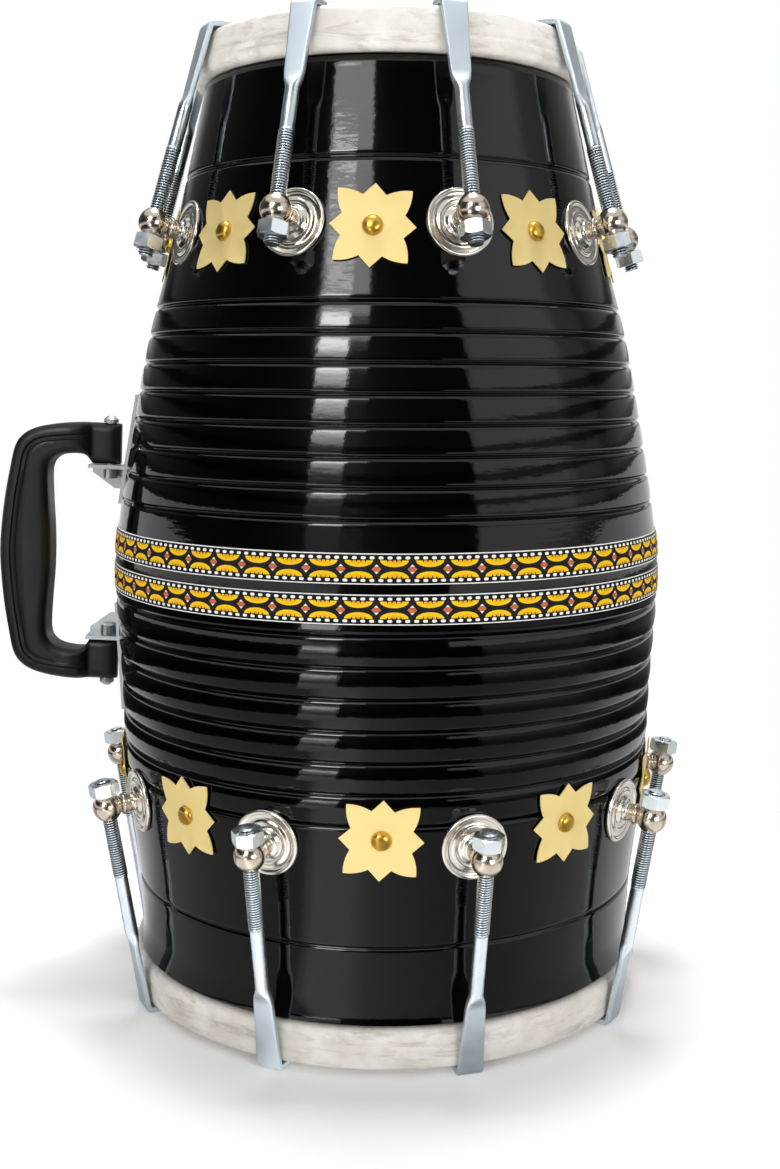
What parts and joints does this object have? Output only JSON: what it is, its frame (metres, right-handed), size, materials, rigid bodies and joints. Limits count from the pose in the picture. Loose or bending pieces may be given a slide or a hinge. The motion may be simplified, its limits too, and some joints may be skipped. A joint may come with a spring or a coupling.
{
  "type": "barrel drum",
  "caption": "Two-headed barrel drum tuned by hook bolts and nuts, with turned grooves, lapped skin heads and a swinging side carry handle.",
  "frame": {"origin": "centre of the bass head's playing face, on the drum's axis", "axes": "+Z along the drum's axis towards the treble head, -X towards the carry handle, -Y towards the viewer of the picture"},
  "size_m": [0.3692, 0.3228, 0.4916],
  "materials": {
    "shell_lacquer": "turned hardwood under polished black lacquer",
    "goatskin": "dried goatskin, matt cream, lapped round an iron hoop",
    "zinc_plate": "bright zinc plate on steel",
    "nickel_plate": "polished nickel plate, slightly warm",
    "handle_plastic": "moulded black nylon, satin",
    "bracket_steel": "white zinc plate on pressed steel"
  },
  "bodies": {
    "drum": {"shell": "shell_lacquer", "treble_head": "goatskin", "bass_head": "goatskin", "treble_stud_1": "nickel_plate", "treble_stud_2": "nickel_plate", "treble_stud_3": "nickel_plate", "treble_stud_4": "nickel_plate", "treble_stud_5": "nickel_plate", "treble_stud_6": "nickel_plate", "treble_stud_7": "nickel_plate", "treble_stud_8": "nickel_plate", "treble_stud_9": "nickel_plate", "bass_stud_1": "nickel_plate", "bass_stud_2": "nickel_plate", "bass_stud_3": "nickel_plate", "bass_stud_4": "nickel_plate", "bass_stud_5": "nickel_plate", "bass_stud_6": "nickel_plate", "bass_stud_7": "nickel_plate", "bass_stud_8": "nickel_plate", "bass_stud_9": "nickel_plate", "upper_bracket": "bracket_steel", "lower_bracket": "bracket_steel"},
    "treble_nut_1": {"treble_nut_1": "zinc_plate"},
    "treble_hook_bolt_1": {"treble_hook_bolt_1": "zinc_plate"},
    "treble_nut_2": {"treble_nut_2": "zinc_plate"},
    "treble_hook_bolt_2": {"treble_hook_bolt_2": "zinc_plate"},
    "treble_nut_3": {"treble_nut_3": "zinc_plate"},
    "treble_hook_bolt_3": {"treble_hook_bolt_3": "zinc_plate"},
    "treble_nut_4": {"treble_nut_4": "zinc_plate"},
    "treble_hook_bolt_4": {"treble_hook_bolt_4": "zinc_plate"},
    "treble_nut_5": {"treble_nut_5": "zinc_plate"},
    "treble_hook_bolt_5": {"treble_hook_bolt_5": "zinc_plate"},
    "treble_nut_6": {"treble_nut_6": "zinc_plate"},
    "treble_hook_bolt_6": {"treble_hook_bolt_6": "zinc_plate"},
    "treble_nut_7": {"treble_nut_7": "zinc_plate"},
    "treble_hook_bolt_7": {"treble_hook_bolt_7": "zinc_plate"},
    "treble_nut_8": {"treble_nut_8": "zinc_plate"},
    "treble_hook_bolt_8": {"treble_hook_bolt_8": "zinc_plate"},
    "treble_nut_9": {"treble_nut_9": "zinc_plate"},
    "treble_hook_bolt_9": {"treble_hook_bolt_9": "zinc_plate"},
    "bass_nut_1": {"bass_nut_1": "zinc_plate"},
    "bass_hook_bolt_1": {"bass_hook_bolt_1": "zinc_plate"},
    "bass_nut_2": {"bass_nut_2": "zinc_plate"},
    "bass_hook_bolt_2": {"bass_hook_bolt_2": "zinc_plate"},
    "bass_nut_3": {"bass_nut_3": "zinc_plate"},
    "bass_hook_bolt_3": {"bass_hook_bolt_3": "zinc_plate"},
    "bass_nut_4": {"bass_nut_4": "zinc_plate"},
    "bass_hook_bolt_4": {"bass_hook_bolt_4": "zinc_plate"},
    "bass_nut_5": {"bass_nut_5": "zinc_plate"},
    "bass_hook_bolt_5": {"bass_hook_bolt_5": "zinc_plate"},
    "bass_nut_6": {"bass_nut_6": "zinc_plate"},
    "bass_hook_bolt_6": {"bass_hook_bolt_6": "zinc_plate"},
    "bass_nut_7": {"bass_nut_7": "zinc_plate"},
    "bass_hook_bolt_7": {"bass_hook_bolt_7": "zinc_plate"},
    "bass_nut_8": {"bass_nut_8": "zinc_plate"},
    "bass_hook_bolt_8": {"bass_hook_bolt_8": "zinc_plate"},
    "bass_nut_9": {"bass_nut_9": "zinc_plate"},
    "bass_hook_bolt_9": {"bass_hook_bolt_9": "zinc_plate"},
    "handle": {"carry_handle": "handle_plastic"}
  },
  "joints": [
    {"name": "treble_nut_1_turn", "type": "hinge", "parent": "drum", "child": "treble_nut_1", "pos_m": [-0.11254, -0.05734, 0.3934], "axis": [-0.2578, -0.1314, -0.9572], "range_deg": [0, 1440]},
    {"name": "treble_hook_bolt_1_slide", "type": "slide", "parent": "drum", "child": "treble_hook_bolt_1", "axis": [0.2578, 0.1314, 0.9572], "range_m": [0, 0.005]},
    {"name": "treble_nut_2_turn", "type": "hinge", "parent": "drum", "child": "treble_nut_2", "pos_m": [-0.04935, -0.11627, 0.3934], "axis": [-0.1131, -0.2663, -0.9572], "range_deg": [0, 1440]},
    {"name": "treble_hook_bolt_2_slide", "type": "slide", "parent": "drum", "child": "treble_hook_bolt_2", "axis": [0.1131, 0.2663, 0.9572], "range_m": [0, 0.005]},
    {"name": "treble_nut_3_turn", "type": "hinge", "parent": "drum", "child": "treble_nut_3", "pos_m": [0.03693, -0.12079, 0.3934], "axis": [0.0846, -0.2767, -0.9572], "range_deg": [0, 1440]},
    {"name": "treble_hook_bolt_3_slide", "type": "slide", "parent": "drum", "child": "treble_hook_bolt_3", "axis": [-0.0846, 0.2767, 0.9572], "range_m": [0, 0.005]},
    {"name": "treble_nut_4_turn", "type": "hinge", "parent": "drum", "child": "treble_nut_4", "pos_m": [0.10593, -0.06879, 0.3934], "axis": [0.2427, -0.1576, -0.9572], "range_deg": [0, 1440]},
    {"name": "treble_hook_bolt_4_slide", "type": "slide", "parent": "drum", "child": "treble_hook_bolt_4", "axis": [-0.2427, 0.1576, 0.9572], "range_m": [0, 0.005]},
    {"name": "treble_nut_5_turn", "type": "hinge", "parent": "drum", "child": "treble_nut_5", "pos_m": [0.12537, 0.01539, 0.3934], "axis": [0.2872, 0.0353, -0.9572], "range_deg": [0, 1440]},
    {"name": "treble_hook_bolt_5_slide", "type": "slide", "parent": "drum", "child": "treble_hook_bolt_5", "axis": [-0.2872, -0.0353, 0.9572], "range_m": [0, 0.005]},
    {"name": "treble_nut_6_turn", "type": "hinge", "parent": "drum", "child": "treble_nut_6", "pos_m": [0.08614, 0.09238, 0.3934], "axis": [0.1973, 0.2116, -0.9572], "range_deg": [0, 1440]},
    {"name": "treble_hook_bolt_6_slide", "type": "slide", "parent": "drum", "child": "treble_hook_bolt_6", "axis": [-0.1973, -0.2116, 0.9572], "range_m": [0, 0.005]},
    {"name": "treble_nut_7_turn", "type": "hinge", "parent": "drum", "child": "treble_nut_7", "pos_m": [0.00661, 0.12614, 0.3934], "axis": [0.0151, 0.2889, -0.9572], "range_deg": [0, 1440]},
    {"name": "treble_hook_bolt_7_slide", "type": "slide", "parent": "drum", "child": "treble_hook_bolt_7", "axis": [-0.0151, -0.2889, 0.9572], "range_m": [0, 0.005]},
    {"name": "treble_nut_8_turn", "type": "hinge", "parent": "drum", "child": "treble_nut_8", "pos_m": [-0.07601, 0.10088, 0.3934], "axis": [-0.1741, 0.2311, -0.9572], "range_deg": [0, 1440]},
    {"name": "treble_hook_bolt_8_slide", "type": "slide", "parent": "drum", "child": "treble_hook_bolt_8", "axis": [0.1741, -0.2311, 0.9572], "range_m": [0, 0.005]},
    {"name": "treble_nut_9_turn", "type": "hinge", "parent": "drum", "child": "treble_nut_9", "pos_m": [-0.12307, 0.02841, 0.3934], "axis": [-0.2819, 0.0651, -0.9572], "range_deg": [0, 1440]},
    {"name": "treble_hook_bolt_9_slide", "type": "slide", "parent": "drum", "child": "treble_hook_bolt_9", "axis": [0.2819, -0.0651, 0.9572], "range_m": [0, 0.005]},
    {"name": "bass_nut_1_turn", "type": "hinge", "parent": "drum", "child": "bass_nut_1", "pos_m": [-0.1386, -0.07062, 0.1078], "axis": [-0.1441, -0.0734, 0.9868], "range_deg": [0, 1440]},
    {"name": "bass_hook_bolt_1_slide", "type": "slide", "parent": "drum", "child": "bass_hook_bolt_1", "axis": [0.1441, 0.0734, -0.9868], "range_m": [0, 0.005]},
    {"name": "bass_nut_2_turn", "type": "hinge", "parent": "drum", "child": "bass_nut_2", "pos_m": [-0.06078, -0.14319, 0.1078], "axis": [-0.0632, -0.1489, 0.9868], "range_deg": [0, 1440]},
    {"name": "bass_hook_bolt_2_slide", "type": "slide", "parent": "drum", "child": "bass_hook_bolt_2", "axis": [0.0632, 0.1489, -0.9868], "range_m": [0, 0.005]},
    {"name": "bass_nut_3_turn", "type": "hinge", "parent": "drum", "child": "bass_nut_3", "pos_m": [0.04548, -0.14876, 0.1078], "axis": [0.0473, -0.1546, 0.9868], "range_deg": [0, 1440]},
    {"name": "bass_hook_bolt_3_slide", "type": "slide", "parent": "drum", "child": "bass_hook_bolt_3", "axis": [-0.0473, 0.1546, -0.9868], "range_m": [0, 0.005]},
    {"name": "bass_nut_4_turn", "type": "hinge", "parent": "drum", "child": "bass_nut_4", "pos_m": [0.13046, -0.08472, 0.1078], "axis": [0.1356, -0.0881, 0.9868], "range_deg": [0, 1440]},
    {"name": "bass_hook_bolt_4_slide", "type": "slide", "parent": "drum", "child": "bass_hook_bolt_4", "axis": [-0.1356, 0.0881, -0.9868], "range_m": [0, 0.005]},
    {"name": "bass_nut_5_turn", "type": "hinge", "parent": "drum", "child": "bass_nut_5", "pos_m": [0.1544, 0.01896, 0.1078], "axis": [0.1605, 0.0197, 0.9868], "range_deg": [0, 1440]},
    {"name": "bass_hook_bolt_5_slide", "type": "slide", "parent": "drum", "child": "bass_hook_bolt_5", "axis": [-0.1605, -0.0197, -0.9868], "range_m": [0, 0.005]},
    {"name": "bass_nut_6_turn", "type": "hinge", "parent": "drum", "child": "bass_nut_6", "pos_m": [0.10609, 0.11377, 0.1078], "axis": [0.1103, 0.1183, 0.9868], "range_deg": [0, 1440]},
    {"name": "bass_hook_bolt_6_slide", "type": "slide", "parent": "drum", "child": "bass_hook_bolt_6", "axis": [-0.1103, -0.1183, -0.9868], "range_m": [0, 0.005]},
    {"name": "bass_nut_7_turn", "type": "hinge", "parent": "drum", "child": "bass_nut_7", "pos_m": [0.00814, 0.15534, 0.1078], "axis": [0.0085, 0.1615, 0.9868], "range_deg": [0, 1440]},
    {"name": "bass_hook_bolt_7_slide", "type": "slide", "parent": "drum", "child": "bass_hook_bolt_7", "axis": [-0.0085, -0.1615, -0.9868], "range_m": [0, 0.005]},
    {"name": "bass_nut_8_turn", "type": "hinge", "parent": "drum", "child": "bass_nut_8", "pos_m": [-0.09362, 0.12423, 0.1078], "axis": [-0.0973, 0.1291, 0.9868], "range_deg": [0, 1440]},
    {"name": "bass_hook_bolt_8_slide", "type": "slide", "parent": "drum", "child": "bass_hook_bolt_8", "axis": [0.0973, -0.1291, -0.9868], "range_m": [0, 0.005]},
    {"name": "bass_nut_9_turn", "type": "hinge", "parent": "drum", "child": "bass_nut_9", "pos_m": [-0.15157, 0.03499, 0.1078], "axis": [-0.1576, 0.0364, 0.9868], "range_deg": [0, 1440]},
    {"name": "bass_hook_bolt_9_slide", "type": "slide", "parent": "drum", "child": "bass_hook_bolt_9", "axis": [0.1576, -0.0364, -0.9868], "range_m": [0, 0.005]},
    {"name": "handle_swing", "type": "hinge", "parent": "drum", "child": "handle", "pos_m": [-0.14876, 0, 0.2275], "axis": [0.0401, 0, 0.9992], "range_deg": [-75, 75]}
  ],
  "couplings": [
    {"joint": "treble_nut_1_turn", "follows": "treble_hook_bolt_1_slide", "rad_per_m": 5026.5},
    {"joint": "treble_nut_2_turn", "follows": "treble_hook_bolt_2_slide", "rad_per_m": 5026.5},
    {"joint": "treble_nut_3_turn", "follows": "treble_hook_bolt_3_slide", "rad_per_m": 5026.5},
    {"joint": "treble_nut_4_turn", "follows": "treble_hook_bolt_4_slide", "rad_per_m": 5026.5},
    {"joint": "treble_nut_5_turn", "follows": "treble_hook_bolt_5_slide", "rad_per_m": 5026.5},
    {"joint": "treble_nut_6_turn", "follows": "treble_hook_bolt_6_slide", "rad_per_m": 5026.5},
    {"joint": "treble_nut_7_turn", "follows": "treble_hook_bolt_7_slide", "rad_per_m": 5026.5},
    {"joint": "treble_nut_8_turn", "follows": "treble_hook_bolt_8_slide", "rad_per_m": 5026.5},
    {"joint": "treble_nut_9_turn", "follows": "treble_hook_bolt_9_slide", "rad_per_m": 5026.5},
    {"joint": "bass_nut_1_turn", "follows": "bass_hook_bolt_1_slide", "rad_per_m": 5026.5},
    {"joint": "bass_nut_2_turn", "follows": "bass_hook_bolt_2_slide", "rad_per_m": 5026.5},
    {"joint": "bass_nut_3_turn", "follows": "bass_hook_bolt_3_slide", "rad_per_m": 5026.5},
    {"joint": "bass_nut_4_turn", "follows": "bass_hook_bolt_4_slide", "rad_per_m": 5026.5},
    {"joint": "bass_nut_5_turn", "follows": "bass_hook_bolt_5_slide", "rad_per_m": 5026.5},
    {"joint": "bass_nut_6_turn", "follows": "bass_hook_bolt_6_slide", "rad_per_m": 5026.5},
    {"joint": "bass_nut_7_turn", "follows": "bass_hook_bolt_7_slide", "rad_per_m": 5026.5},
    {"joint": "bass_nut_8_turn", "follows": "bass_hook_bolt_8_slide", "rad_per_m": 5026.5},
    {"joint": "bass_nut_9_turn", "follows": "bass_hook_bolt_9_slide", "rad_per_m": 5026.5}
  ]
}
